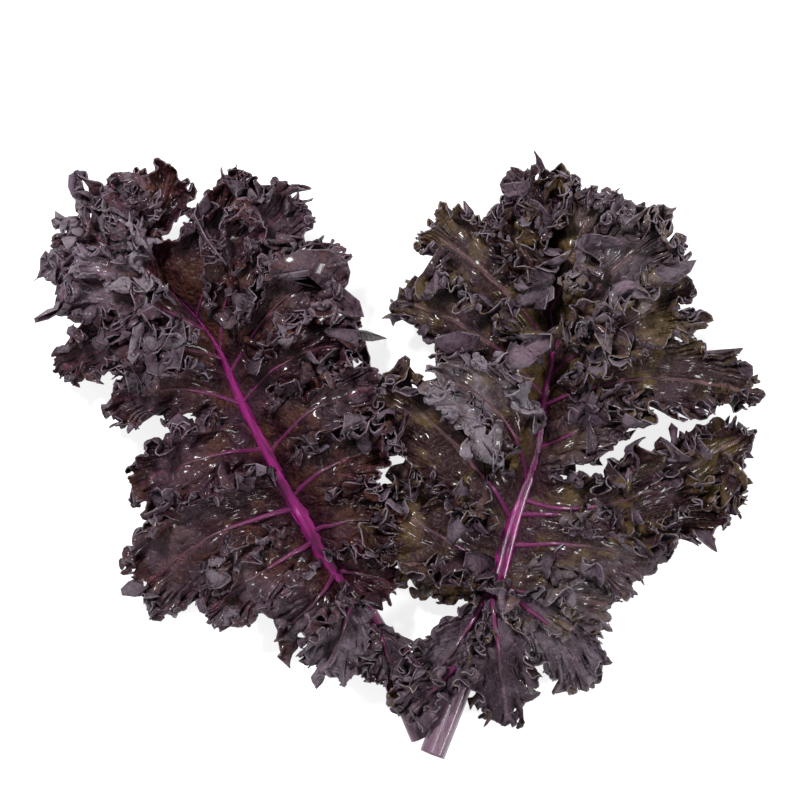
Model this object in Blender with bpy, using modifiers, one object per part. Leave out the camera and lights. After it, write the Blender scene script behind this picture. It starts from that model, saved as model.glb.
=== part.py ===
"""Purple kale bunch: two curly leaves lying side by side, upper faces up, their stalks crossing at the cut.

Run with: blender --background --python part.py
Metres, +Z up, +Y from the cut ends towards the leaf tips. The origin is under the middle of the bunch,
on the surface that it lies on.
"""

import math

import bmesh
import bpy
import numpy as np

MM = 0.001

# Driving dimensions
BLADE_THICKNESS = 1.4 * MM
STALK_CLEARANCE = 0.8 * MM  # between the midrib's side and the edge of the blade beside it
APEX_CLEARANCE = 2.5 * MM  # added to it where the blade closes round the midrib's end
FLOOR_GAP = 0.05 * MM
STALK_SIDES = 12
STALK_RINGS = 22
COLUMNS_PER_LOBE = 8
ROWS = 6
OUTLINE_POINTS = 1600
FOLDS_PER_LOBE = 1.5  # folds of the margin in each lobe
ARCH_HEIGHT = 17 * MM  # how far a lobe rises between midrib and margin
ARCH_SHARE = 0.3  # but no more than this share of the blade's length there
FOLD_HEIGHT = 22 * MM  # from the margin's troughs to its crests
FOLD_SHARE = 0.35
FOLD_GROWTH = 2.2  # how late on its way out from the midrib the blade takes up the folds
NOTCH_SHARE = 0.78  # length of the blade between two lobes, as a share of the lobes' own
BASE_DROP = 0.03  # how far down the midrib from the lowest lobe the blade starts, as a share of its length
BASE_SPREAD = 10 * MM  # and how far its lower edge sags there
APEX_SHARE = 0.03  # the last share of the midrib, where the blade closes round its end
LEAFLET_COLUMNS = 10
LEAFLET_ROWS = 6
LEAFLET_FOLDS = 3
LEAFLET_FOLD_HEIGHT = 5 * MM
LEAFLET_OVAL = (0.07, 0.92)  # where on its oval a leaflet starts and stops

# Shift of everything below, in mm, which puts the origin under the middle of the bunch
CENTRING = (-0.37, -0.49, -0.13)

# Midribs from the cut end to the tip: x, y, height of the axis and radius, in mm
LEFT_MIDRIB = [
    (11.5, -141, 6.4, 6.2),
    (-7, -98, 6.6, 6.4),
    (-27, -65, 7.5, 6.4),
    (-37.5, -50, 8, 6.2),
    (-50.5, -27, 9, 5.7),
    (-62.5, -6, 10, 5.0),
    (-74, 16.5, 11, 4.2),
    (-82.5, 34, 12, 3.4),
    (-90.5, 54, 13, 2.4),
    (-102.5, 71, 14, 1.5),
    (-117.5, 86.5, 14, 1.2),
    (-132, 104, 13, 1.0),
    (-144, 118.5, 11, 0.8),
]
RIGHT_MIDRIB = [
    (19.5, -146.5, 17.2, 6.2),
    (27, -120.5, 14.5, 6.3),
    (38, -90.5, 11.5, 6.4),
    (48, -63.5, 10, 6.3),
    (54, -40.5, 10, 6.0),
    (60.5, -19.5, 10.5, 5.4),
    (67.5, -0.5, 11, 4.7),
    (73, 32, 12, 3.2),
    (77, 52.5, 13, 2.3),
    (76, 69.5, 14, 1.7),
    (72.5, 87, 14, 1.4),
    (75, 112, 13, 1.1),
    (81, 129.5, 11, 0.8),
]

# Lobes of each half blade from the stalk to the tip: the share of the midrib's length where the
# lobe's vein leaves it, then the lobe's tip in mm, its height being that of the margin's troughs
LEFT_LEAF_LEFT_LOBES = [
    (0.316, -69, -83, 5),
    (0.436, -134, -56, 1),
    (0.546, -131, -6, 6),
    (0.629, -148, 22, 4),
    (0.724, -176, 46, 1),
    (0.790, -175, 92, 10),
    (0.880, -171, 122, 12),
]
LEFT_LEAF_RIGHT_LOBES = [
    (0.313, -10, -68, 7),
    (0.386, -9, -24, 4),
    (0.454, -9, 9, 5),
    (0.534, -12, 41, 4),
    (0.642, -16, 64, 3),
    (0.684, -29, 97, 8),
    (0.735, -52, 131, 3),
    (0.800, -86, 139, 12),
    (0.915, -124, 149, 12),
]
RIGHT_LEAF_LEFT_LOBES = [
    (0.298, 0, -70, 8),
    (0.350, -5, -13, 4),
    (0.440, -4, 33, 5),
    (0.540, 6, 54, 6),
    (0.652, 1, 83, 3),
    (0.740, 14, 117, 8),
    (0.830, 46, 136, 12),
]
RIGHT_LEAF_RIGHT_LOBES = [
    (0.313, 122, -72, 1),
    (0.446, 173, -12, 1),
    (0.539, 136, 10, 7),
    (0.637, 177, 36, 2),
    (0.700, 151, 80, 8),
    (0.765, 138, 117, 3),
    (0.850, 108, 142, 12),
]
LEFT_APEX = (-159, 139, 14)
RIGHT_APEX = (80, 149, 14)

# Leaflets on the stalks: the point beside the stalk, the middle of the vein and the tip (x, y, height)
# and half the width, in mm
LEAFLETS = {
    "left_leaf_outer_leaflet": ((-30, -79, 13), (-40, -97, 19), (-45, -115, 3), 13),
    "left_leaf_inner_leaflet": ((-9, -79, 12), (-11, -95, 20), (-4, -114, 18), 11),
    "right_leaf_inner_leaflet": ((27, -87, 14), (17, -103, 21), (9, -121, 18), 10),
    "right_leaf_outer_leaflet": ((58, -85, 13), (82, -95, 20), (107, -115, 3), 13),
    "right_leaf_lower_leaflet": ((45, -99, 12), (54, -115, 20), (57, -136, 3), 12),
    "right_leaf_foot_leaflet": ((18, -121, 24), (7, -129, 22), (-6, -139, 6), 7),
}

# Colour and roughness
STEM_FINISH = ((0.28, 0.012, 0.15), 0.3)
BLADE_FINISH = ((0.045, 0.022, 0.035), 0.45)
LEAFLET_FINISH = ((0.06, 0.032, 0.045), 0.45)


def clear_scene():
    for obj in list(bpy.data.objects):
        bpy.data.objects.remove(obj, do_unlink=True)


def finish(name, colour, roughness):
    material = bpy.data.materials.new(name)
    material.use_nodes = True
    shader = material.node_tree.nodes["Principled BSDF"]
    shader.inputs["Base Color"].default_value = (*colour, 1)
    shader.inputs["Roughness"].default_value = roughness
    shader.inputs["Metallic"].default_value = 0
    return material


def smooth_curve(points, count):
    """count points, evenly spaced by length, on a Catmull-Rom curve through the given ones, in metres."""
    p = np.array(points, float) * MM
    p = np.vstack([2 * p[0] - p[1], p, 2 * p[-1] - p[-2]])
    t = np.linspace(0, 1, 16, endpoint=False)[:, None]
    spans = [
        0.5 * (2 * b + (c - a) * t + (2 * a - 5 * b + 4 * c - d) * t**2 + (3 * b - a - 3 * c + d) * t**3)
        for a, b, c, d in zip(p[:-3], p[1:-2], p[2:-1], p[3:])
    ]
    line = np.vstack([*spans, p[-2:-1]])
    steps = np.linalg.norm(np.diff(line[:, :3], axis=0), axis=1)
    length = np.concatenate([[0], np.cumsum(steps)])
    places = np.linspace(0, length[-1], count)
    return np.stack([np.interp(places, length, line[:, k]) for k in range(line.shape[1])], axis=1)


def at_share(curve, share):
    """The curve's values at a share of its length."""
    place = np.clip(share, 0, 1) * (len(curve) - 1)
    return np.array([np.interp(place, np.arange(len(curve)), curve[:, k]) for k in range(curve.shape[1])])


def across(curve, share):
    """Level unit vector to the left of the curve at a share of its length."""
    ahead = at_share(curve, share + 0.02) - at_share(curve, share - 0.02)
    left = np.array([-ahead[1], ahead[0], 0.0])
    return left / np.linalg.norm(left)


def add_object(name, data, look, collection):
    obj = bpy.data.objects.new(name, data)
    obj.location = [shift * MM for shift in CENTRING]
    data.materials.append(finish(name, *look))
    collection.objects.link(obj)
    return obj


def stem(name, midrib, collection):
    """A leaf's stalk and midrib: one tapering rod from the cut end to the tip."""
    curve = bpy.data.curves.new(name, "CURVE")
    curve.dimensions = "3D"
    curve.bevel_depth = 1.0
    curve.bevel_resolution = STALK_SIDES // 2 - 2
    curve.use_fill_caps = True
    spline = curve.splines.new("POLY")
    spline.points.add(STALK_RINGS - 1)
    for point, (x, y, z, radius) in zip(spline.points, smooth_curve(midrib, STALK_RINGS)):
        point.co = (x, y, z, 1)
        point.radius = radius
    return add_object(name, curve, STEM_FINISH, collection)


def sheet(name, columns, rows, place, look, collection):
    """A thin shell over a grid of columns by rows quads, its corners put where place(column, row) says."""
    grid = bmesh.new()
    bmesh.ops.create_grid(grid, x_segments=columns, y_segments=rows, size=0.5)
    for vertex in grid.verts:
        column = round((vertex.co.x + 0.5) * columns)
        row = round((vertex.co.y + 0.5) * rows)
        vertex.co = place(column, row)
    bmesh.ops.recalc_face_normals(grid, faces=grid.faces)
    mesh = bpy.data.meshes.new(name)
    grid.to_mesh(mesh)
    grid.free()
    mesh.shade_smooth()
    obj = add_object(name, mesh, look, collection)
    shell = obj.modifiers.new("thickness", "SOLIDIFY")
    shell.thickness = BLADE_THICKNESS
    shell.offset = 0
    return obj


def blade_outline(midrib, left_lobes, right_lobes, apex):
    """Places along the midrib and points on the margin, up the left side, round the apex and down the right.

    They are the lobes' tips and the notches between them. A place runs from 0 at the cut up to 1 at the
    midrib's end and on to 2, back at the cut.
    """
    tips = [(t, np.array(tip) * MM) for t, *tip in left_lobes]
    tips.append((1.0, np.array(apex) * MM))
    tips += [(2 - t, np.array(tip) * MM) for t, *tip in reversed(right_lobes)]

    def notch(place, beyond):
        foot = at_share(midrib, 1 - abs(1 - place))[:3]
        return place, foot + NOTCH_SHARE * (beyond - foot)

    corners = [notch(tips[0][0] - BASE_DROP, tips[0][1] - (0, BASE_SPREAD, 0))]
    for (place, tip), (following, next_tip) in zip(tips, tips[1:]):
        corners += [(place, tip), notch((place + following) / 2, (tip + next_tip) / 2)]
    corners += [tips[-1], notch(tips[-1][0] + BASE_DROP, tips[-1][1] - (0, BASE_SPREAD, 0))]
    return corners


def blade(name, midrib, left_lobes, right_lobes, apex, collection):
    """A leaf's blade, round its midrib: lobes that arch up from the midrib and end in a folded margin."""
    line = smooth_curve(midrib, 200)
    corners = blade_outline(line, left_lobes, right_lobes, apex)
    outline = smooth_curve(np.array([point for _, point in corners]) / MM, OUTLINE_POINTS)
    corner_points = [np.linalg.norm(outline - point, axis=1).argmin() for _, point in corners]
    lobe_count = len(left_lobes) + len(right_lobes) + 1
    columns = COLUMNS_PER_LOBE * lobe_count
    corner_columns = np.linspace(0, columns, len(corners))

    def place(column, row):
        out = row / ROWS
        along = np.interp(column, corner_columns, [corner[0] for corner in corners])
        share = 1 - abs(1 - along)
        foot = at_share(line, share)
        left = across(line, share)
        ahead = np.array([left[1], -left[0], 0.0])
        turn = math.pi / 2 * np.clip((1 - along) / APEX_SHARE, -1, 1)
        aside = (ahead * math.cos(turn) + left * math.sin(turn)) / max(math.cos(turn), abs(math.sin(turn)))
        clearance = STALK_CLEARANCE + APEX_CLEARANCE * math.cos(turn) + BLADE_THICKNESS / 2
        start = foot[:3] + aside * (foot[3] + clearance)
        edge = outline[round(np.interp(column, corner_columns, corner_points))]
        reach = np.linalg.norm(edge - start)
        point = start + (edge - start) * out
        fold = 0.5 - 0.5 * math.cos(2 * math.pi * FOLDS_PER_LOBE * lobe_count * column / columns)
        arch = min(ARCH_HEIGHT, ARCH_SHARE * reach) * math.sin(math.pi * out)
        point[2] += arch + min(FOLD_HEIGHT, FOLD_SHARE * reach) * fold * out**FOLD_GROWTH
        point[2] = max(point[2], BLADE_THICKNESS / 2 + FLOOR_GAP)
        return point

    return sheet(name, columns, ROWS, place, BLADE_FINISH, collection)


def leaflet(name, foot, middle, tip, half_width, collection):
    """A small free leaflet: an oval sheet along its own vein, with a wavy edge."""
    vein = smooth_curve([foot, middle, tip], 60)
    width = half_width * MM
    start, stop = LEAFLET_OVAL

    def place(column, row):
        along = column / LEAFLET_COLUMNS
        side = 2 * row / LEAFLET_ROWS - 1
        oval = math.sin(math.pi * (start + (stop - start) * along))
        point = at_share(vein, along) + across(vein, along) * side * width * oval
        wave = math.sin(2 * math.pi * LEAFLET_FOLDS * along + math.pi * (side > 0))
        point[2] += LEAFLET_FOLD_HEIGHT / 2 * side**2 * wave
        point[2] = max(point[2], BLADE_THICKNESS / 2 + FLOOR_GAP)
        return point

    return sheet(name, LEAFLET_COLUMNS, LEAFLET_ROWS, place, LEAFLET_FINISH, collection)


def main():
    clear_scene()
    bunch = bpy.data.collections.new("purple_kale_bunch")
    bpy.context.scene.collection.children.link(bunch)
    stem("left_leaf_stem", LEFT_MIDRIB, bunch)
    stem("right_leaf_stem", RIGHT_MIDRIB, bunch)
    blade("left_leaf_blade", LEFT_MIDRIB, LEFT_LEAF_LEFT_LOBES, LEFT_LEAF_RIGHT_LOBES, LEFT_APEX, bunch)
    blade("right_leaf_blade", RIGHT_MIDRIB, RIGHT_LEAF_LEFT_LOBES, RIGHT_LEAF_RIGHT_LOBES, RIGHT_APEX, bunch)
    for name, (foot, middle, tip, half_width) in LEAFLETS.items():
        leaflet(name, foot, middle, tip, half_width, bunch)


main()
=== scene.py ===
"""A bunch of purple kale: two curly leaves with frilled lobes, their stalks crossing at the cut.

Lengths are in millimetres until they reach a mesh. +Y runs from the cut ends to the leaf tips.
"""

import math

import bpy
import numpy as np
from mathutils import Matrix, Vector


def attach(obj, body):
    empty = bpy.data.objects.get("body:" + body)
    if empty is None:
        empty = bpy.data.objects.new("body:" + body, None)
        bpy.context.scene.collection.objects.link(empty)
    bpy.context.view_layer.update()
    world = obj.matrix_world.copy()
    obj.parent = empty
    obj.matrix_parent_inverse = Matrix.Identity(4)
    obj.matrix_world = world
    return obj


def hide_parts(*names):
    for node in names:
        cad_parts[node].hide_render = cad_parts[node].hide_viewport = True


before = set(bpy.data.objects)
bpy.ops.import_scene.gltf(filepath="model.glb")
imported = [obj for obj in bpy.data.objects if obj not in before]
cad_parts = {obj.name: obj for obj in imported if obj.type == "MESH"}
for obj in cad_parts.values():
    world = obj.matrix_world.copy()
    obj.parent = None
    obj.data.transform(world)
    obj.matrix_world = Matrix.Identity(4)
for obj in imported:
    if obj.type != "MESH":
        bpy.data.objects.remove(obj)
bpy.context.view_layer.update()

MM = 0.001
CENTRING = np.array([-0.37, -0.49, -0.13])  # the same shift as the CAD's, from these tables to the origin

# Midribs from the cut end to the tip: x, y, z of the axis and its radius
LEFT_MIDRIB = [
    (11.5, -141, 6.4, 6.2), (-7, -98, 6.6, 6.4), (-27, -65, 7.5, 6.4), (-37.5, -50, 8, 6.2),
    (-50.5, -27, 9, 5.6), (-62.5, -6, 10, 4.9), (-74, 16.5, 11, 4.1), (-82.5, 34, 12, 3.1),
    (-90.5, 54, 13, 1.8), (-102.5, 71, 14, 1.1), (-117.5, 86.5, 15, 0.9), (-132, 104, 15, 0.7),
    (-144, 118.5, 14, 0.5),
]
RIGHT_MIDRIB = [
    (16, -148, 18.4, 6.2), (27, -120.5, 14.5, 6.3), (38, -90.5, 11.5, 6.4), (48, -63.5, 10, 6.2),
    (54, -40.5, 10, 5.6), (60.5, -19.5, 10.5, 4.8), (67.5, -0.5, 11, 3.9), (73, 32, 12, 2.8),
    (77, 52.5, 13, 1.9), (76, 69.5, 14, 1.3), (72.5, 87, 15, 1.0), (75, 112, 15, 0.8),
    (81, 129.5, 14, 0.6),
]

# Lobes of each half blade, from the stalk to the tip: share of the midrib where the vein leaves it, the
# vein's middle and end, half the lobe's width, its lift and sideways tilt, its margin's curl in degrees
# and how much pale bloom it has
LEFT_LEAF_LEFT = [
    (0.313, (-43, -72, 17), (-62, -86, 10), 17, 5, 0.10, 20, 0.6),
    (0.372, (-71, -57, 18), (-95, -76, 10), 20, 5, -0.10, 30, 0.5),
    (0.436, (-92, -38, 19), (-131, -66, 10), 27, 6, 0.12, 35, 0.3),
    (0.546, (-96, 1, 22), (-133, -13, 16), 20, 6, -0.16, 60, 0.1),
    (0.629, (-114, 35, 21), (-142, 27, 14), 16, 5, 0.10, 70, 0.3),
    (0.710, (-136, 57, 20), (-171, 43, 12), 13, 6, -0.10, 50, 0.2),
    (0.765, (-136, 82, 24), (-170, 92, 20), 19, 8, 0.15, 80, 0.9),
    (0.830, (-138, 102, 27), (-163, 116, 24), 21, 8, -0.12, 75, 1.0),
    (0.900, (-132, 117, 27), (-142, 135, 24), 18, 6, 0.10, 90, 0.3),
    (0.960, (-122, 123, 26), (-114, 141, 24), 17, 6, -0.10, 80, 0.0),
]
LEFT_LEAF_RIGHT = [
    (0.313, (-21, -57, 16), (-4, -62, 14), 15, 4, 0.10, 50, 0.1),
    (0.386, (-24, -31, 19), (0, -32, 16), 21, 5, -0.12, 50, 0.0),
    (0.454, (-34, -3, 20), (-1, 8, 16), 20, 6, 0.10, 60, 0.0),
    (0.534, (-42, 24.5, 21), (-8, 36, 18), 20, 6, -0.15, 70, 0.3),
    (0.630, (-50, 52, 22), (-21, 55, 18), 19, 6, 0.12, 70, 0.0),
    (0.684, (-57.5, 79.5, 23), (-29, 93, 18), 21, 6, -0.12, 80, 0.4),
    (0.724, (-80, 94.5, 23), (-51, 130, 20), 22, 6, 0.12, 90, 0.3),
    (0.792, (-90, 101.5, 24), (-75, 140, 20), 18, 6, -0.10, 80, 0.0),
]
RIGHT_LEAF_LEFT = [
    (0.298, (22.5, -62, 17), (6, -68, 12), 13, 4, 0.12, 30, 0.1),
    (0.336, (20, -38, 20), (-10, -22, 18), 25, 6, -0.12, 50, 0.0),
    (0.426, (34, 0, 21), (-7, 36, 18), 25, 6, 0.12, 50, 0.0),
    (0.500, (47, 25, 27), (14, 40, 30), 20, 9, -0.10, 50, 1.0),
    (0.652, (40, 61, 22), (-1, 80, 18), 21, 6, 0.14, 50, 0.1),
    (0.732, (45, 90, 25), (13, 114, 20), 20, 6, -0.12, 60, 0.1),
    (0.800, (60, 106, 26), (47, 123, 22), 19, 6, 0.12, 90, 0.0),
    (0.880, (71, 116, 26), (76, 139, 22), 17, 6, -0.10, 90, 0.0),
]
RIGHT_LEAF_RIGHT = [
    (0.306, (76, -68, 17), (112, -76, 9), 19, 4, -0.10, 20, 0.5),
    (0.385, (96, -44, 18), (132, -55, 10), 20, 5, 0.10, 30, 0.4),
    (0.440, (110, -27, 19), (168, -24, 12), 18, 6, -0.10, 40, 0.0),
    (0.470, (108, -21, 20), (172, 12, 13), 19, 6, 0.10, 50, 0.0),
    (0.560, (95, 17, 19), (118, 25, 14), 14, 5, -0.10, 60, 0.2),
    (0.637, (120, 40, 21), (177, 33, 14), 20, 6, 0.12, 50, 0.1),
    (0.689, (110, 66, 24), (143, 80, 18), 20, 6, -0.14, 70, 0.15),
    (0.732, (102, 90, 25), (138, 117, 20), 23, 7, 0.12, 60, 0.5),
    (0.800, (90, 112, 25), (99, 136, 22), 20, 6, -0.10, 90, 0.3),
]
# Degrees from the middle of a lobe round to its notches, from the stalk to the tip, for the left half blade
# and the right one
LEFT_NOTCHES = (
    (140, 122, 120, 145, 118, 122, 138, 125, 120, 110, 90),
    (130, 125, 118, 122, 116, 130, 120, 115, 90),
)
RIGHT_NOTCHES = (
    (135, 122, 118, 122, 126, 130, 125, 115, 90),
    (135, 120, 114, 112, 132, 122, 130, 130, 115, 90),
)
LEAFLET_NOTCHES = (155, 155)

# Leaflets: foot on the stalk, the vein's middle and end, and the rest as above
LEFT_LEAFLETS = {
    "left_leaf_outer_leaflet": ((-24, -66, 17), (-29, -87, 22), (-38, -106, 9), 17, 3, 0.10, 30, 0.5),
    "left_leaf_inner_leaflet": ((-14, -84, 17), (-5, -99, 22), (-1, -119, 17), 15, 3, -0.10, 60, 0.2),
}
RIGHT_LEAFLETS = {
    "right_leaf_inner_leaflet": ((43, -68, 18), (29, -92, 24), (10, -117, 17), 16, 3, 0.10, 60, 0.2),
    "right_leaf_outer_leaflet": ((50, -68, 17), (75, -84, 21), (93, -112, 9), 17, 3, -0.10, 40, 0.5),
    "right_leaf_lower_leaflet": ((46, -68, 20), (49, -96, 25), (54, -132, 8), 16, 3, 0.08, 30, 0.1),
    "right_leaf_foot_leaflet": ((27, -104, 24), (15, -116, 26), (5, -127, 16), 14, 2, -0.08, 40, 0.2),
}

# The blade's grid and its thin shell
ROWS = 28
ROW_CROWDING = 1.3  # rows are closer together towards the margin
COLUMN_SPACING = 0.28  # along the margin, before it folds
STRETCHES = 12  # that a leaf's blade is drawn in
SHELL = 0.5  # thickness of the blade
BLADE_REST = 0.2  # the lowest that a blade comes
ROD_REST = 0.15  # and a stalk or vein
LEAST_REACH = 0.03  # of a lobe's length, at its notches
BARE_BY_STALK = 11.0  # width of the strip beside the midrib that stays flat
BARE_BY_TIP = 6.0
UV_END = 0.006  # room at the ends of each strip of the UV layer
UV_SIDE = 0.03  # and at its sides
UV_SLIVER = 0.004  # width of the rim there

# Midribs and veins
STEPS_PER_SPAN = 24  # of a curve, between two of its points
MIDRIB_POINTS = 500
STALK_SIDES = 40
SIDE_VEIN = 11  # distance between a lobe's side veins
VEIN_POINTS = 60
VEIN_SIDES = 10
VEIN_REACH = 0.8  # share of the rows that a main vein crosses
VEIN_RISE = 0.5  # of its axis above the middle of the blade
LEAFLET_VEIN = 0.3  # a leaflet's vein is as thick as one that leaves the left midrib at this share

# The curl, the quilting and what cuts the margin
CURLED_BAND = 22
QUILT = 1.3  # height of the bulges between the veins
SMALL_LOBE = 4.6
BUMP = 1.5
TOOTH = 2.4
TOOTH_SPACING = 2.3
LEAFLET_FRILL = 0.85  # strength of a leaflet's folds, where a leaf's is 1
STEEPEST = 1.9  # the most that a fold's heading swings, in radians
# Folds along the margin, each on top of the one before: wavelength, swing in radians, width of the folded
# band, how far the folds lean over and how much of their height stays
FOLDS = (
    (22, 1.2, 26, 0.25, 1.0),
    (10.5, 1.5, 15, 0.6, 0.9),
    (6, 1.35, 6, 0.5, 1.0),
)

# The photo's view: metres across at a height of VIEW_HEIGHT metres, and its middle in millimetres
VIEW_WIDTH = 0.4
VIEW_HEIGHT = 0.02
VIEW_MIDDLE_Y = 29.5


def smooth(x, low, high):
    t = np.clip((x - low) / (high - low), 0, 1)
    return t * t * (3 - 2 * t)


def unit(v):
    return v / np.maximum(np.linalg.norm(v, axis=-1, keepdims=True), 1e-12)


def curve_through(points, count):
    """count points evenly spaced by length on a Catmull-Rom curve through the given ones."""
    p = np.array(points, float)
    p = np.vstack([2 * p[0] - p[1], p, 2 * p[-1] - p[-2]])
    t = np.linspace(0, 1, STEPS_PER_SPAN, endpoint=False)[:, None]
    spans = [
        0.5 * (2 * b + (c - a) * t + (2 * a - 5 * b + 4 * c - d) * t**2 + (3 * b - a - 3 * c + d) * t**3)
        for a, b, c, d in zip(p[:-3], p[1:-2], p[2:-1], p[3:])
    ]
    line = np.vstack([*spans, p[-2:-1]])
    steps = np.linalg.norm(np.diff(line[:, :3], axis=0), axis=1)
    length = np.concatenate([[0], np.cumsum(steps)])
    places = np.linspace(0, length[-1], count)
    return np.stack([np.interp(places, length, line[:, k]) for k in range(line.shape[1])], axis=1)


def at(curve, share):
    """Points of an evenly spaced curve at shares of its length."""
    x = np.clip(share, 0, 1) * (len(curve) - 1)
    i = np.minimum(x.astype(int), len(curve) - 2)
    f = (x - i)[..., None]
    return curve[i] * (1 - f) + curve[i + 1] * f


def noise_line(rng, s, scale):
    """Smooth noise of about unit size at places s."""
    knots = rng.standard_normal(int(s.max() / scale) + 6)
    x = s / scale + 1
    i = x.astype(int)
    f = smooth(x - i, 0, 1)
    return knots[i] * (1 - f) + knots[i + 1] * f


def noise_plane(rng, x, y, scale):
    """Smooth noise of about unit size over the plane."""
    x = (x - x.min()) / scale
    y = (y - y.min()) / scale
    knots = rng.standard_normal((int(x.max()) + 3, int(y.max()) + 3))
    i, j = x.astype(int), y.astype(int)
    f, g = smooth(x - i, 0, 1), smooth(y - j, 0, 1)
    low = knots[i, j] * (1 - f) + knots[i + 1, j] * f
    high = knots[i, j + 1] * (1 - f) + knots[i + 1, j + 1] * f
    return low * (1 - g) + high * g


def noise_space(rng, p, scale):
    """Smooth noise of about unit size in space."""
    p = (p - p.min(axis=(0, 1))) / scale
    knots = rng.standard_normal(p.max(axis=(0, 1)).astype(int) + 2)
    cell = p.astype(int)
    f = smooth(p - cell, 0, 1)
    total = 0
    for a in (0, 1):
        for b in (0, 1):
            for c in (0, 1):
                i, j, k = cell[..., 0] + a, cell[..., 1] + b, cell[..., 2] + c
                share = np.abs(1 - a - f[..., 0]) * np.abs(1 - b - f[..., 1]) * np.abs(1 - c - f[..., 2])
                total = total + knots[i, j, k] * share
    return total


def moving_average(x, count):
    """The mean of about count neighbours along the first axis."""
    count = max(3, int(count) | 1)
    pad = count // 2
    padded = np.concatenate([np.repeat(x[:1], pad, 0), x, np.repeat(x[-1:], pad, 0)])
    total = np.cumsum(np.concatenate([np.zeros_like(padded[:1]), padded]), axis=0)
    return (total[count:] - total[:-count]) / count


def soften(p, times, mask):
    """Blends each column of points with its neighbours, fully where mask is 1."""
    for _ in range(times):
        q = p.copy()
        q[1:-1] = 0.25 * p[:-2] + 0.5 * p[1:-1] + 0.25 * p[2:]
        p = p * (1 - mask) + q * mask
    return p


def row_shares():
    """Places of the rows along a rib, from 0 at the midrib to 1 at the margin."""
    return 1 - (1 - np.linspace(0, 1, ROWS)) ** ROW_CROWDING


class Sheet:
    """A blade as a grid of points: one column for each rib, from the midrib (row 0) to the margin."""

    def __init__(self, points, turn, lobe):
        self.points = points
        self.turn = turn  # -1 to 1 across each lobe, one for each column
        self.lobe = lobe  # the number of each column's lobe
        self.main_vein = np.zeros(points.shape[:2])  # distance to the lobe's main vein
        self.side_vein = np.zeros(points.shape[:2])  # and to the nearest side vein, before the blade folds
        self.bloom = np.zeros(points.shape[:2])
        self.bare = np.full(len(points), BARE_BY_TIP)

    def margin_distance(self):
        steps = np.linalg.norm(np.diff(self.points, axis=1), axis=2)
        inward = np.cumsum(steps[:, ::-1], axis=1)[:, ::-1]
        return np.concatenate([inward, np.zeros_like(inward[:, :1])], axis=1)

    def midrib_distance(self):
        outer = self.margin_distance()
        return outer[:, :1] - outer

    def margin_steps(self):
        return np.linalg.norm(np.diff(self.points[:, -1], axis=0), axis=1)

    def normal(self):
        return unit(np.cross(unit(np.gradient(self.points, axis=0)), unit(np.gradient(self.points, axis=1))))


def handle_of(foot, middle, tip):
    """The handle that leads a quadratic curve from the foot through the middle to the tip."""
    return 2 * middle - (foot + tip) / 2


def bezier(foot, handle, tip, q):
    q = np.asarray(q, float)[..., None]
    return (1 - q) ** 2 * foot + 2 * q * (1 - q) * handle + q**2 * tip


def fan(foot, middle, tip, width, lift, tilt, side, turn, notches, base_of=None):
    """One lobe: ribs that fan out from its foot, or from base_of(turn) along the midrib, to its margin.

    notches is how many degrees the ribs turn before turn reaches -1 and 1. side is 1 on the left of a midrib
    and -1 on its right.
    """
    v = row_shares()[None, :]
    foot, middle, tip = (np.array(point, float) for point in (foot, middle, tip))
    handle = handle_of(foot, middle, tip)
    angle = np.radians(np.where(turn < 0, notches[0], notches[1]) * turn)[:, None]
    reach = np.maximum(0.5 + 0.5 * np.cos(angle), LEAST_REACH)
    q = reach * v
    line = bezier(foot, handle, tip, q)
    tangent = unit(2 * (1 - q)[..., None] * (handle - foot) + 2 * q[..., None] * (tip - handle))
    normal = unit(np.stack([-tangent[..., 1], tangent[..., 0], 0 * q], -1)) * -side
    lateral = width * np.sin(angle) * (0.88 + 0.29 * np.cos(angle)) * v**1.4
    points = line + normal * lateral[..., None]
    if base_of is not None:
        points = points + (base_of(turn)[:, None, :] - foot) * ((1 - v) ** 1.5)[..., None]
    points[..., 2] += lift * np.sin(np.pi * np.clip(q, 0, 1) ** 0.8) + tilt * lateral
    return points


def columns_of(foot, tip, width):
    """How many columns a lobe needs for its outline."""
    outline = 2.2 * np.linalg.norm(np.array(tip) - foot) + width
    return max(8, int(outline / COLUMN_SPACING))


def distance_to(points, starts, ends):
    """Level distance from each point to the nearest of some straight pieces."""
    place = points[..., None, :2]
    along = ends - starts
    t = ((place - starts) * along).sum(-1) / np.maximum((along**2).sum(-1), 1e-9)
    nearest = starts + np.clip(t, 0, 1)[..., None] * along
    return np.linalg.norm(place - nearest, axis=-1).min(axis=-1)


def find_veins(sheet, number, foot, middle, tip, width):
    """Measures a lobe's flat sheet from its main vein and its side veins, which curve towards its tip."""
    foot, middle, tip = (np.array(point, float) for point in (foot, middle, tip))
    handle = handle_of(foot, middle, tip)
    mine = sheet.lobe == number
    main = bezier(foot, handle, tip, np.linspace(0, 1, 13))[:, :2]
    sheet.main_vein[mine] = distance_to(sheet.points[mine], main[:-1], main[1:])
    starts = []
    ends = []
    count = max(3, int(np.linalg.norm(tip - foot) / SIDE_VEIN))
    run = np.linspace(0, 1, 6)[:, None] * width * 1.3
    for k in range(count):
        for hand in (-1, 1):
            q = (k + 0.35 + 0.25 * hand) / count
            here, ahead = bezier(foot, handle, tip, [q, q + 0.02])[:, :2]
            forward = (ahead - here) / np.linalg.norm(ahead - here)
            sideways = hand * np.array([-forward[1], forward[0]])
            path = here + sideways * run * 0.75 + forward * (run * 0.55 + run**2 / width * 0.22)
            starts.append(path[:-1])
            ends.append(path[1:])
    sheet.side_vein[mine] = distance_to(sheet.points[mine], np.concatenate(starts), np.concatenate(ends))


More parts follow.
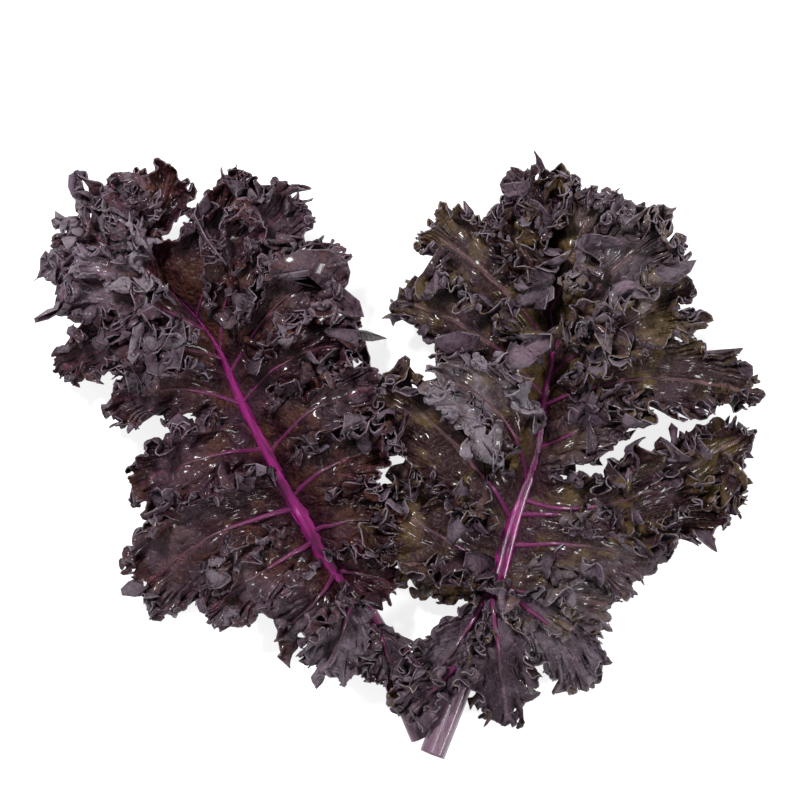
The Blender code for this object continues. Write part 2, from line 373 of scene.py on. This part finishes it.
def half_parts(midrib, lobes, side, notches):
    """Each lobe's (ribs, their turn), from the stalk to the tip."""
    feet = [lobe[0] for lobe in lobes]
    between = [(a + b) / 2 for a, b in zip(feet, feet[1:])]
    borders = [feet[0] - 0.5 * (feet[1] - feet[0]), *between, 1.0]
    parts = []
    for k, (share, middle, tip, width, lift, tilt, *_) in enumerate(lobes):
        foot = at(midrib, np.array([share]))[0, :3]
        turn = np.linspace(-1, 1, columns_of(foot, tip, width))

        def base_of(turn, share=share, k=k):
            room = np.where(turn < 0, share - borders[k], borders[k + 1] - share)
            return at(midrib, share + turn * room)[:, :3]

        ribs = fan(foot, middle, tip, width, lift, tilt, side, turn, notches[k : k + 2], base_of)
        parts.append((ribs, turn))
    return parts


def leaf_sheet(midrib, left_lobes, right_lobes, notches, narrow_from):
    """The smooth sheet of a whole blade before it folds: up its left side, round the tip, down its right.

    The strip that stays flat narrows where the lobes' feet pass the share narrow_from of the midrib.
    """
    parts = half_parts(midrib, left_lobes, 1, notches[0])
    right_parts = half_parts(midrib, right_lobes, -1, notches[1])
    parts += [(ribs[::-1], turn[::-1]) for ribs, turn in reversed(right_parts)]
    lobes = [*left_lobes, *reversed(right_lobes)]
    for (here, _), (beyond, _) in zip(parts, parts[1:]):
        shared = (here[-1] + beyond[0]) / 2
        blend = smooth(np.linspace(0, 1, len(here)), 0.8, 1.0)[:, None, None]
        here[:] = here * (1 - blend) + shared * blend
        blend = smooth(np.linspace(0, 1, len(beyond)), 0.2, 0.0)[:, None, None]
        beyond[:] = beyond * (1 - blend) + shared * blend
    # a lobe's last rib is the next one's first
    kept = [(ribs[:-1], turn[:-1]) for ribs, turn in parts[:-1]] + [parts[-1]]
    number = np.repeat(np.arange(len(kept)), [len(turn) for _, turn in kept])
    points = np.concatenate([ribs for ribs, _ in kept])
    sheet = Sheet(points, np.concatenate([turn for _, turn in kept]), number)
    feet = np.array([lobe[0] for lobe in lobes])[number]
    narrow = smooth(feet, narrow_from - 0.05, narrow_from + 0.08)
    sheet.bare = BARE_BY_STALK - (BARE_BY_STALK - BARE_BY_TIP) * narrow
    for k, (share, middle, tip, width, *_) in enumerate(lobes):
        find_veins(sheet, k, at(midrib, np.array([share]))[0, :3], middle, tip, width)
    return sheet, lobes


def quilt(sheet, rng):
    """The blade bulges between its veins and blisters, but not beside the midrib."""
    p = sheet.points
    bulge = (1 - np.exp(-sheet.side_vein / 1.8)) * (1 - np.exp(-sheet.main_vein / 2.5))
    blister = 0.6 * noise_plane(rng, p[..., 0], p[..., 1], 7)
    blister = blister + 0.45 * noise_plane(rng, p[..., 0], p[..., 1], 3.2)
    height = QUILT * smooth(sheet.midrib_distance(), 2, 12)
    sheet.points = p + sheet.normal() * (height * (0.9 * bulge + blister))[..., None]


def cut_teeth(sheet, rng):
    """Gives the flat blade's margin its small lobes, bumps and teeth."""
    p = sheet.points
    s = np.concatenate([[0], np.cumsum(sheet.margin_steps())])
    outward = unit(p[:, -1:] - p[:, -5:-4])
    outer = sheet.margin_distance()
    room = smooth(outer[:, :1], 4, 22)
    small_lobes = SMALL_LOBE * np.clip(noise_line(rng, s, 9), -1.5, 0.8)
    bumps = BUMP * noise_line(rng, s, 4)
    teeth = (1 - 2 * np.abs((s / TOOTH_SPACING + 0.9 * noise_line(rng, s, 5)) % 1 - 0.5)) ** 1.2
    teeth = TOOTH * (teeth - 0.45) * np.clip(1 + 0.5 * noise_line(rng, s, 5), 0.2, 2)
    for move, depth in ((small_lobes, 10), (bumps, 4), (teeth, 2.0)):
        p = p + outward * (move[:, None] * np.exp(-outer / depth) * room)[..., None]
    sheet.points = p


def curl_margin(sheet, angle):
    """Bends the outermost band of each rib upwards and back, by angle in radians for each column."""
    p = sheet.points
    distance = sheet.margin_distance()
    middle = (distance[:, 1:] + distance[:, :-1]) / 2
    step = np.diff(p, axis=1)
    length = np.linalg.norm(step, axis=2)
    bend = angle[:, None] * (1 - smooth(middle, 0, CURLED_BAND))
    level = step.copy()
    level[..., 2] = 0
    level = unit(level)
    direction = unit(step)
    out = np.sum(direction * level, -1)
    up = direction[..., 2]
    turned = level * (out * np.cos(bend) - up * np.sin(bend))[..., None]
    turned[..., 2] = out * np.sin(bend) + up * np.cos(bend)
    p[:, 1:] = p[:, :1] + np.cumsum(turned * length[..., None], axis=1)


# How much shorter a meander is than its line, for each swing of its heading
SWINGS = np.linspace(0, 2, 80)
ONE_MEANDER = np.linspace(0, 2 * np.pi, 64, endpoint=False)
SHORTENING = np.array([np.cos(swing * np.cos(ONE_MEANDER)).mean() for swing in SWINGS])


def even_out(directions, count):
    return unit(moving_average(moving_average(directions, count), count))


def fold(sheet, rng, wavelength, swing, band, lean, flatten):
    """Folds the outermost band into meanders along the margin, which is that much longer than it looks.

    The wavelength, the phase and the strength wander. lean lays the folds over along the margin and inwards,
    and flatten presses them down.
    """
    p = sheet.points
    step = np.linalg.norm(np.diff(p, axis=0), axis=2)
    step = np.concatenate([step[:1], step])
    columns = wavelength * 0.12 / step[:, -1].mean()
    along = even_out(unit(np.gradient(p, axis=0)), columns)
    outward = unit(np.gradient(p, axis=1))
    normal = even_out(sheet.normal(), columns)
    s = np.cumsum(step[:, -1])
    local = wavelength * np.exp(0.35 * noise_line(rng, s, wavelength * 2))
    phase = np.cumsum(2 * math.pi * step[:, -1] / local)[:, None]
    phase = phase + noise_line(rng, s, wavelength * 1.5)[:, None] * (1 - row_shares()[None, :])
    strength = np.clip(1 + 0.35 * noise_line(rng, s, wavelength * 1.3), 0.35, 1.5)[:, None]
    outer = sheet.margin_distance()
    phase = phase + noise_plane(rng, np.broadcast_to(s[:, None], outer.shape), outer, wavelength * 0.8)
    theta = swing * strength * (1 - smooth(outer, 0, band))
    bare = sheet.bare[:, None]
    theta = np.minimum(theta * smooth(sheet.midrib_distance(), 0.2 * bare, bare), STEEPEST)
    shortening = np.interp(theta, SWINGS, SHORTENING)
    heading = theta * np.cos(phase)
    x = np.cumsum(step * (np.cos(heading) / shortening - 1), axis=0)
    z = np.cumsum(step * np.sin(heading) / shortening, axis=0)
    period = wavelength / step[:, -1].mean()
    x -= moving_average(x, period)
    z -= moving_average(z, period)
    over = lean * noise_line(rng, s, wavelength * 1.7)[:, None]
    inward = lean * noise_line(rng, s, wavelength * 1.4)[:, None]
    level = along * (x + over * z)[..., None] + outward * (inward * z)[..., None]
    sheet.points = p + level + normal * (flatten * z)[..., None]


def crumple(sheet, rng):
    """Small dents and wrinkles, deeper towards the margin and none at the midrib."""
    p = sheet.points
    depth = 0.6 + 0.4 * (1 - smooth(sheet.margin_distance(), 2, 22))
    depth = depth * smooth(sheet.midrib_distance(), 1, 9)
    move = [0.75 * noise_space(rng, p, 5.5) + 0.42 * noise_space(rng, p, 2.6) for _ in range(3)]
    sheet.points = p + np.stack(move, axis=-1) * depth[..., None]


def settle(p):
    """Keeps the blade above the surface and presses down what stands too high, softly at both ends."""
    low = 0.8
    soft = 2.5
    high = 34.0
    give = 10.0
    above = p[..., 2] - low
    z = low + soft * np.logaddexp(0, above / soft)
    z = z - soft * math.log(2) * np.exp(-np.maximum(above, 0) / soft)
    z = np.maximum(z, 0.5 * low)
    p[..., 2] = np.where(z > high, high + give * np.tanh((z - high) / give), z)


def ruffle(sheet, lobes, seed, frill=1.0):
    """Turns the smooth sheet into a curly blade."""
    rng = np.random.default_rng(seed)
    sheet.points = soften(sheet.points, 8, (0.2 + 0.8 * row_shares())[None, :, None])
    s = np.concatenate([[0], np.cumsum(sheet.margin_steps())])
    columns = 8 / (s[-1] / len(s))  # in 8 mm of the margin
    curl, bloom = (np.array([lobe[k] for lobe in lobes], float)[sheet.lobe] for k in (-2, -1))
    open_part = 0.35 + 0.65 * np.maximum(np.cos(sheet.turn * math.pi / 2), 0) ** 0.6
    open_part = open_part * smooth(sheet.margin_distance()[:, 0], 0.5 * sheet.bare, 1.8 * sheet.bare)
    angle = moving_average((np.radians(curl) + 0.8 * noise_line(rng, s, 24)) * open_part, columns)
    sheet.bloom = moving_average(bloom, columns)[:, None] * smooth(row_shares(), 0.35, 0.75)[None, :]
    quilt(sheet, rng)
    cut_teeth(sheet, rng)
    curl_margin(sheet, np.clip(angle, -0.4, 2.4))
    for wavelength, swing, band, lean, flatten in FOLDS:
        fold(sheet, rng, wavelength, swing * frill, band, lean, flatten)
    crumple(sheet, rng)
    sheet.points = soften(sheet.points, 2, row_shares()[None, :, None])
    settle(sheet.points)


def grid_faces(columns, rows):
    index = np.arange(columns * rows).reshape(columns, rows)
    quads = [index[:-1, :-1], index[1:, :-1], index[1:, 1:], index[:-1, 1:]]
    return np.stack(quads, -1).reshape(-1, 4)


def strip_map(faces, columns, rows):
    """UV places for a shell's corners: two strips for its upper face, two for its underside and its rim."""
    below, grid = np.divmod(faces, columns * rows)
    column, row = np.divmod(grid, rows)
    half = -(-(columns - 1) // 2)
    strip = np.minimum(column.min(axis=1, keepdims=True) // half, 1)
    across = UV_SIDE + (1 - 2 * UV_SIDE) * row / (rows - 1)
    u = UV_END + (1 - 2 * UV_END) * (column - strip * half) / half
    v = (strip + 2 * below.max(axis=1, keepdims=True) + across) / 4
    # the rim's upper corners stand off from the strip by a sliver
    rim = (below.min(axis=1) != below.max(axis=1))[:, None] & (below == 0)
    u = u + UV_SLIVER * rim * np.where(column == columns - 1, 1, np.where(column == 0, -1, 0))
    v = v + UV_SLIVER * rim * np.where(row == rows - 1, 1, np.where(row == 0, -1, 0))
    return np.stack([u, v], axis=-1)


def add_attribute(mesh, name, values):
    attribute = mesh.attributes.new(name, "FLOAT", "POINT")
    attribute.data.foreach_set("value", values.astype(np.float32))


def add_piece(name, mesh, materials, node):
    piece = bpy.data.objects.new(name, mesh)
    bpy.context.scene.collection.objects.link(piece)
    for material in materials:
        mesh.materials.append(material)
    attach(piece, "root")
    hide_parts(node)
    return piece


def add_shell(name, sheet, first, last, top, node):
    """A stretch of a blade as a closed thin shell: its upper face, its underside and the rim between them."""
    pick = slice(first, last + 1)
    p = sheet.points[pick]
    half = sheet.normal()[pick] * SHELL / 2
    columns, rows = p.shape[:2]
    count = columns * rows
    points = np.concatenate([(p + half).reshape(-1, 3), (p - half).reshape(-1, 3)])
    points[:, 2] = np.maximum(points[:, 2], BLADE_REST)
    upper = grid_faces(columns, rows)
    index = np.arange(count).reshape(columns, rows)
    loop = np.concatenate([index[:, 0], index[-1, 1:], index[-2::-1, -1], index[0, -2:0:-1]])
    after = np.roll(loop, -1)
    rim = np.stack([after, loop, loop + count, after + count], -1)
    faces = np.concatenate([upper, upper[:, ::-1] + count, rim])

    mesh = bpy.data.meshes.new(name)
    mesh.vertices.add(len(points))
    mesh.vertices.foreach_set("co", ((points + CENTRING) * MM).astype(np.float32).ravel())
    mesh.loops.add(faces.size)
    mesh.loops.foreach_set("vertex_index", faces.astype(np.int32).ravel())
    mesh.polygons.add(len(faces))
    mesh.polygons.foreach_set("loop_start", np.arange(0, faces.size, 4, dtype=np.int32))
    mesh.update(calc_edges=True)
    mesh.polygons.foreach_set("use_smooth", np.ones(len(faces), bool))
    underside = np.repeat([0, 1, 0], [len(upper), len(upper), len(rim)])
    mesh.polygons.foreach_set("material_index", underside.astype(np.int32))
    for key, values in (
        ("margin", sheet.margin_distance()),
        ("main_vein", sheet.main_vein),
        ("side_vein", sheet.side_vein),
        ("bloom", sheet.bloom),
    ):
        add_attribute(mesh, key, np.tile(values[pick].ravel(), 2))
    layer = mesh.uv_layers.new(name="OFBake")
    layer.data.foreach_set("uv", strip_map(faces, columns, rows).astype(np.float32).ravel())
    add_piece(name, mesh, [top, UNDER], node)


def add_rod(name, centres, radii, sides, materials, node, section=None):
    """A rod along centres, its radius scaled by section(angle, share). A second material covers its start."""
    tangent = unit(np.gradient(centres, axis=0))
    side = unit(np.cross(tangent, np.array([0.0, 0.0, 1.0])))
    up = np.cross(side, tangent)
    angle = np.linspace(0, 2 * math.pi, sides, endpoint=False)
    share = np.linspace(0, 1, len(centres))[:, None]
    scale = np.ones((len(centres), sides)) if section is None else section(angle[None, :], share)
    r = (radii[:, None] * scale)[..., None]
    ring = centres[:, None] + side[:, None] * np.cos(angle)[None, :, None] * r
    ring = ring + up[:, None] * np.sin(angle)[None, :, None] * r
    count = len(centres) * sides
    index = np.arange(count).reshape(len(centres), sides)
    following = np.roll(index, -1, axis=1)
    quads = np.stack([index[:-1], index[1:], following[1:], following[:-1]], -1).reshape(-1, 4)
    first_cap = np.stack([index[0], following[0], np.full(sides, count)], -1)
    last_cap = np.stack([following[-1], index[-1], np.full(sides, count + 1)], -1)
    ends = [centres[:1] - tangent[:1] * 0.4, centres[-1:] + tangent[-1:] * 0.3]
    points = np.concatenate([ring.reshape(-1, 3), *ends])
    points[:, 2] = np.maximum(points[:, 2], ROD_REST)

    mesh = bpy.data.meshes.new(name)
    faces = quads.tolist() + first_cap.tolist() + last_cap.tolist()
    mesh.from_pydata(((points + CENTRING) * MM).tolist(), [], faces)
    mesh.update()
    mesh.polygons.foreach_set("use_smooth", np.ones(len(faces), bool))
    material_index = np.zeros(len(faces), np.int32)
    if len(materials) > 1:
        material_index[len(quads) : len(quads) + sides] = 1
    mesh.polygons.foreach_set("material_index", material_index)
    distance = np.concatenate([[0], np.cumsum(np.linalg.norm(np.diff(centres, axis=0), axis=1))])
    add_attribute(mesh, "share", np.concatenate([np.repeat(share.ravel(), sides), [0, 1]]))
    add_attribute(mesh, "round", np.concatenate([np.tile(angle, len(centres)), [0, 0]]))
    add_attribute(mesh, "run", np.concatenate([np.repeat(distance, sides), [0, distance[-1]]]))
    add_piece(name, mesh, materials, node)


class Nodes:
    """Short names for building a material's node tree."""

    COLOUR_A = 6  # the mix node's colour sockets, whose names its other sockets share
    COLOUR_B = 7
    MIXED_COLOUR = 2

    def __init__(self, name):
        self.material = bpy.data.materials.new(name)
        self.material.use_nodes = True
        self.tree = self.material.node_tree
        self.shader = self.tree.nodes["Principled BSDF"]

    def new(self, kind, **settings):
        node = self.tree.nodes.new(kind)
        for key, value in settings.items():
            setattr(node, key, value)
        return node

    def link(self, source, target):
        self.tree.links.new(source, target)

    def feed(self, socket, value):
        """Gives a socket another node's output, a colour or a number."""
        if isinstance(value, bpy.types.NodeSocket):
            self.link(value, socket)
        elif isinstance(value, tuple):
            socket.default_value = (*value, 1)
        else:
            socket.default_value = value

    def attribute(self, name):
        return self.new("ShaderNodeAttribute", attribute_name=name).outputs["Fac"]

    def math(self, operation, a, b=0.0):
        node = self.new("ShaderNodeMath", operation=operation)
        self.feed(node.inputs[0], a)
        self.feed(node.inputs[1], b)
        return node.outputs[0]

    def ramp(self, value, low, high, to_low=0.0, to_high=1.0):
        node = self.new("ShaderNodeMapRange", interpolation_type="SMOOTHSTEP")
        for socket, given in zip(node.inputs, (value, low, high, to_low, to_high)):
            self.feed(socket, given)
        return node.outputs[0]

    def mix(self, amount, a, b):
        node = self.new("ShaderNodeMix", data_type="RGBA")
        self.feed(node.inputs["Factor"], amount)
        self.feed(node.inputs[self.COLOUR_A], a)
        self.feed(node.inputs[self.COLOUR_B], b)
        return node.outputs[self.MIXED_COLOUR]

    def noise(self, vector, scale, detail, roughness=0.55):
        node = self.new("ShaderNodeTexNoise")
        self.link(vector, node.inputs["Vector"])
        node.inputs["Scale"].default_value = scale
        node.inputs["Detail"].default_value = detail
        node.inputs["Roughness"].default_value = roughness
        return node.outputs[0]

    def cells(self, vector, scale):
        node = self.new("ShaderNodeTexVoronoi", feature="DISTANCE_TO_EDGE")
        self.link(vector, node.inputs["Vector"])
        node.inputs["Scale"].default_value = scale
        return node.outputs["Distance"]

    def bump(self, height, strength, distance):
        node = self.new("ShaderNodeBump")
        self.link(height, node.inputs["Height"])
        node.inputs["Strength"].default_value = strength
        node.inputs["Distance"].default_value = distance
        self.link(node.outputs[0], self.shader.inputs["Normal"])

    def gloss(self, roughness, specular, coat, coat_roughness):
        self.feed(self.shader.inputs["Roughness"], roughness)
        self.shader.inputs["Specular IOR Level"].default_value = specular
        self.shader.inputs["Coat Weight"].default_value = coat
        self.shader.inputs["Coat Roughness"].default_value = coat_roughness


def blade_material(name, dark, warm, cool, vein, bloom, roughness, coat):
    """Patches of three colours under a net of fine veins, powdery bloom, the lobes' veins and a painted
    margin highlight.
    """
    n = Nodes(name)
    margin = n.attribute("margin")
    spot = n.new("ShaderNodeTexCoord").outputs["Object"]
    patches = n.noise(spot, 55, 5, 0.62)
    broad = n.noise(spot, 24, 3)
    colour = n.mix(n.ramp(patches, 0.46, 0.60), dark, warm)
    colour = n.mix(n.ramp(broad, 0.50, 0.64, 0.0, 0.6), colour, cool)

    net = n.cells(spot, 260)
    fine = n.ramp(net, 0.0, 0.07, 1.0, 0.0)
    colour = n.mix(n.math("MULTIPLY", fine, 0.12), colour, vein)
    powder = n.ramp(n.noise(spot, 90, 4), 0.35, 0.6, 0.15, 0.95)
    colour = n.mix(n.math("MULTIPLY", n.attribute("bloom"), powder), colour, bloom)

    inside = n.ramp(margin, 1, 7)
    side_vein = n.math("MULTIPLY", n.ramp(n.attribute("side_vein"), 0.12, 0.6, 1.0, 0.0), inside)
    colour = n.mix(n.math("MULTIPLY", side_vein, 0.6), colour, vein)
    main_vein = n.math("MULTIPLY", n.ramp(n.attribute("main_vein"), 0.4, 1.3, 1.0, 0.0), inside)
    colour = n.mix(n.math("MULTIPLY", main_vein, 0.65), colour, vein)

    # painted highlight: a paler band along the margin, where light would catch the rim of the blade
    painted_edge_highlight = n.math("MULTIPLY", n.ramp(margin, 0.0, 0.9, 0.65, 0.0), n.ramp(n.noise(spot, 120, 2), 0.35, 0.6))
    colour = n.mix(painted_edge_highlight, colour, tuple(1.5 * part for part in bloom))
    n.link(colour, n.shader.inputs["Base Color"])
    uneven = n.ramp(patches, 0.3, 0.7, roughness - 0.08, roughness + 0.1)
    n.gloss(roughness=uneven, specular=0.06, coat=coat, coat_roughness=0.13)
    height = n.math("ADD", n.ramp(net, 0.0, 0.3), n.math("MULTIPLY", n.noise(spot, 420, 3), 1.6))
    height = n.math("SUBTRACT", height, n.math("MULTIPLY", side_vein, 0.6))
    n.bump(height, strength=0.6, distance=0.0008)
    return n.material


def stem_material(name, deep, bright, pale, faded, fade, roughness):
    """Streaked along its length, the pale streaks painted highlights, turning to the faded colour from fade's
    first share of it to the second.
    """
    n = Nodes(name)
    run = n.attribute("run")
    around = n.attribute("round")
    where = n.new("ShaderNodeCombineXYZ")
    n.link(n.math("MULTIPLY", run, 0.025), where.inputs[0])
    n.link(n.math("COSINE", around), where.inputs[1])
    n.link(n.math("SINE", around), where.inputs[2])
    streaks = n.noise(where.outputs[0], 3.6, 5, 0.62)
    colour = n.mix(n.ramp(streaks, 0.36, 0.58), deep, bright)
    # pale streaks: a painted highlight along the rod, where its gloss would catch the light
    colour = n.mix(n.ramp(streaks, 0.62, 0.74, 0.0, 0.6), colour, pale)
    shade = n.mix(n.ramp(streaks, 0.36, 0.62), tuple(0.6 * part for part in faded), faded)
    colour = n.mix(n.ramp(n.attribute("share"), *fade), colour, shade)
    n.link(colour, n.shader.inputs["Base Color"])
    n.gloss(roughness=roughness, specular=0.25, coat=0.3, coat_roughness=0.16)
    n.bump(streaks, strength=0.5, distance=0.001)
    return n.material


def plain_material(name, colour, roughness):
    n = Nodes(name)
    n.feed(n.shader.inputs["Base Color"], colour)
    n.shader.inputs["Roughness"].default_value = roughness
    return n.material


LEFT_TOP = blade_material(
    "left_leaf_upper_face",
    dark=(0.013, 0.0035, 0.0055),
    warm=(0.038, 0.014, 0.010),
    cool=(0.036, 0.017, 0.028),
    vein=(0.10, 0.032, 0.050),
    bloom=(0.110, 0.080, 0.104),
    roughness=0.30,
    coat=0.2,
)
RIGHT_TOP = blade_material(
    "right_leaf_upper_face",
    dark=(0.015, 0.0055, 0.0060),
    warm=(0.055, 0.034, 0.012),
    cool=(0.032, 0.016, 0.023),
    vein=(0.13, 0.075, 0.070),
    bloom=(0.130, 0.108, 0.128),
    roughness=0.28,
    coat=0.22,
)
UNDER = blade_material(
    "kale_underside",
    dark=(0.034, 0.022, 0.030),
    warm=(0.074, 0.055, 0.070),
    cool=(0.030, 0.015, 0.025),
    vein=(0.13, 0.085, 0.11),
    bloom=(0.140, 0.115, 0.135),
    roughness=0.45,
    coat=0.0,
)
STALK = stem_material(
    "kale_midrib",
    deep=(0.060, 0.001, 0.032),
    bright=(0.145, 0.004, 0.084),
    # painted highlight, laid on the palest streaks
    pale=(0.42, 0.13, 0.31),
    faded=(0.13, 0.072, 0.110),
    fade=(0.24, 0.05),
    roughness=0.26,
)
VEIN = stem_material(
    "kale_vein",
    deep=(0.055, 0.005, 0.030),
    bright=(0.120, 0.016, 0.072),
    # painted highlight, laid on the palest streaks
    pale=(0.30, 0.14, 0.22),
    faded=(0.070, 0.036, 0.044),
    fade=(0.25, 0.7),
    roughness=0.3,
)
CUT = plain_material("kale_cut_end", (0.30, 0.20, 0.25), roughness=0.6)

LEFT_LINE = curve_through(LEFT_MIDRIB, MIDRIB_POINTS)
RIGHT_LINE = curve_through(RIGHT_MIDRIB, MIDRIB_POINTS)


def stalk_section(angle, share):
    """Ribbed stalk, with a shallow channel along its upper side that ends towards the leaf's tip."""
    from_top = np.abs((angle - math.pi / 2 + math.pi) % (2 * math.pi) - math.pi)
    channel = 0.16 * np.exp(-(from_top**2) / 0.12) * (1 - smooth(share, 0.35, 0.7))
    return 1 + 0.025 * np.cos(7 * angle) + 0.015 * np.cos(13 * angle + 4 * share) - channel


def add_stem(name, line, seed):
    """A stalk and its midrib as one rod of slightly uneven thickness."""
    rng = np.random.default_rng(seed)
    centres = line[::2, :3]
    radii = line[::2, 3] * (1 + 0.02 * noise_line(rng, np.arange(len(centres), dtype=float), 12))
    add_rod(name, centres, radii, STALK_SIDES, [STALK, CUT], name, stalk_section)


def vein_radius(midrib, share):
    """How thick a vein is where it leaves the midrib, which gives thicker veins where it is thicker."""
    return 0.20 * np.interp(share, np.linspace(0, 1, len(midrib)), midrib[:, 3]) + 0.35


def add_veins(name, sheet, thickest):
    """Each lobe's main vein, a tapering rod on the blade from the midrib nearly to the margin."""
    for k, radius in enumerate(thickest):
        mine = np.flatnonzero(sheet.lobe == k)
        column = mine[np.abs(sheet.turn[mine]).argmin()]
        path = curve_through(sheet.points[column, : int(ROWS * VEIN_REACH)][::3], VEIN_POINTS)
        path[:, 2] += VEIN_RISE
        taper = [1.2 * radius, 0.85 * radius, 0.5 * radius, 0.2]
        radii = np.interp(np.linspace(0, 1, VEIN_POINTS), [0, 0.25, 0.6, 1], taper)
        add_rod(f"{name}_vein_{k + 1}", path, radii, VEIN_SIDES, [VEIN], name)


def add_leaf(name, midrib, left_lobes, right_lobes, notches, narrow_from, top, seed):
    sheet, lobes = leaf_sheet(midrib, left_lobes, right_lobes, notches, narrow_from)
    ruffle(sheet, lobes, seed)
    cuts = np.linspace(0, len(sheet.points) - 1, STRETCHES + 1).astype(int)
    for k, (first, last) in enumerate(zip(cuts, cuts[1:])):
        add_shell(f"{name}_{k + 1}", sheet, first, last, top, name)
    add_veins(name, sheet, [vein_radius(midrib, lobe[0]) for lobe in lobes])


def add_leaflet(name, shape, top, seed):
    foot, middle, tip, width, lift, tilt, *_ = shape
    turn = np.linspace(-1, 1, columns_of(foot, tip, width))
    points = fan(foot, middle, tip, width, lift, tilt, -1, turn, LEAFLET_NOTCHES)
    sheet = Sheet(points, turn, np.zeros(len(turn), int))
    find_veins(sheet, 0, foot, middle, tip, width)
    ruffle(sheet, [shape], seed, LEAFLET_FRILL)
    add_shell(name + "_blade", sheet, 0, len(turn) - 1, top, name)
    add_veins(name, sheet, [vein_radius(LEFT_LINE, LEAFLET_VEIN)])


def add_lamp(name, place, energy, size):
    light = bpy.data.lights.new(name, "AREA")
    light.energy = energy
    light.size = size
    lamp = bpy.data.objects.new(name, light)
    lamp.location = place
    lamp.rotation_euler = (-Vector(place)).to_track_quat("-Z", "Y").to_euler()
    bpy.context.scene.collection.objects.link(lamp)


def add_stage():
    """A pale floor that glows like a light table, two lamps and a white sky."""
    bpy.ops.mesh.primitive_plane_add(size=8, location=(0, 0, 0))
    floor = bpy.context.object
    floor.name = "light_table"
    glow = plain_material("light_table", (0.4, 0.4, 0.4), roughness=0.9)
    shader = glow.node_tree.nodes["Principled BSDF"]
    shader.inputs["Emission Color"].default_value = (1, 1, 1, 1)
    shader.inputs["Emission Strength"].default_value = 0.8
    floor.data.materials.append(glow)
    world = bpy.data.worlds.new("soft_sky")
    bpy.context.scene.world = world
    world.use_nodes = True
    sky = world.node_tree.nodes["Background"]
    sky.inputs["Color"].default_value = (1, 1, 1, 1)
    sky.inputs["Strength"].default_value = 0.5
    add_lamp("key", (-0.5, 0.7, 1.1), energy=26, size=0.2)
    add_lamp("fill", (0.8, -0.3, 1.0), energy=11, size=0.25)


def add_camera():
    """Straight above the bunch, with the photo's width in view."""
    camera = bpy.data.cameras.new("camera")
    camera.lens = 100
    height = VIEW_WIDTH * camera.lens / camera.sensor_width + VIEW_HEIGHT
    camera_object = bpy.data.objects.new("camera", camera)
    camera_object.location = (CENTRING[0] * MM, (VIEW_MIDDLE_Y + CENTRING[1]) * MM, height)
    bpy.context.scene.collection.objects.link(camera_object)
    bpy.context.scene.camera = camera_object
    bpy.context.scene.view_settings.view_transform = "Standard"


add_stem("left_leaf_stem", LEFT_LINE, 11)
add_stem("right_leaf_stem", RIGHT_LINE, 12)
add_leaf(
    "left_leaf_blade", LEFT_LINE, LEFT_LEAF_LEFT, LEFT_LEAF_RIGHT, LEFT_NOTCHES,
    narrow_from=0.74, top=LEFT_TOP, seed=1,
)
add_leaf(
    "right_leaf_blade", RIGHT_LINE, RIGHT_LEAF_LEFT, RIGHT_LEAF_RIGHT, RIGHT_NOTCHES,
    narrow_from=0.64, top=RIGHT_TOP, seed=2,
)
for number, (name, shape) in enumerate(LEFT_LEAFLETS.items()):
    add_leaflet(name, shape, LEFT_TOP, 20 + number)
for number, (name, shape) in enumerate(RIGHT_LEAFLETS.items()):
    add_leaflet(name, shape, RIGHT_TOP, 30 + number)
add_stage()
add_camera()
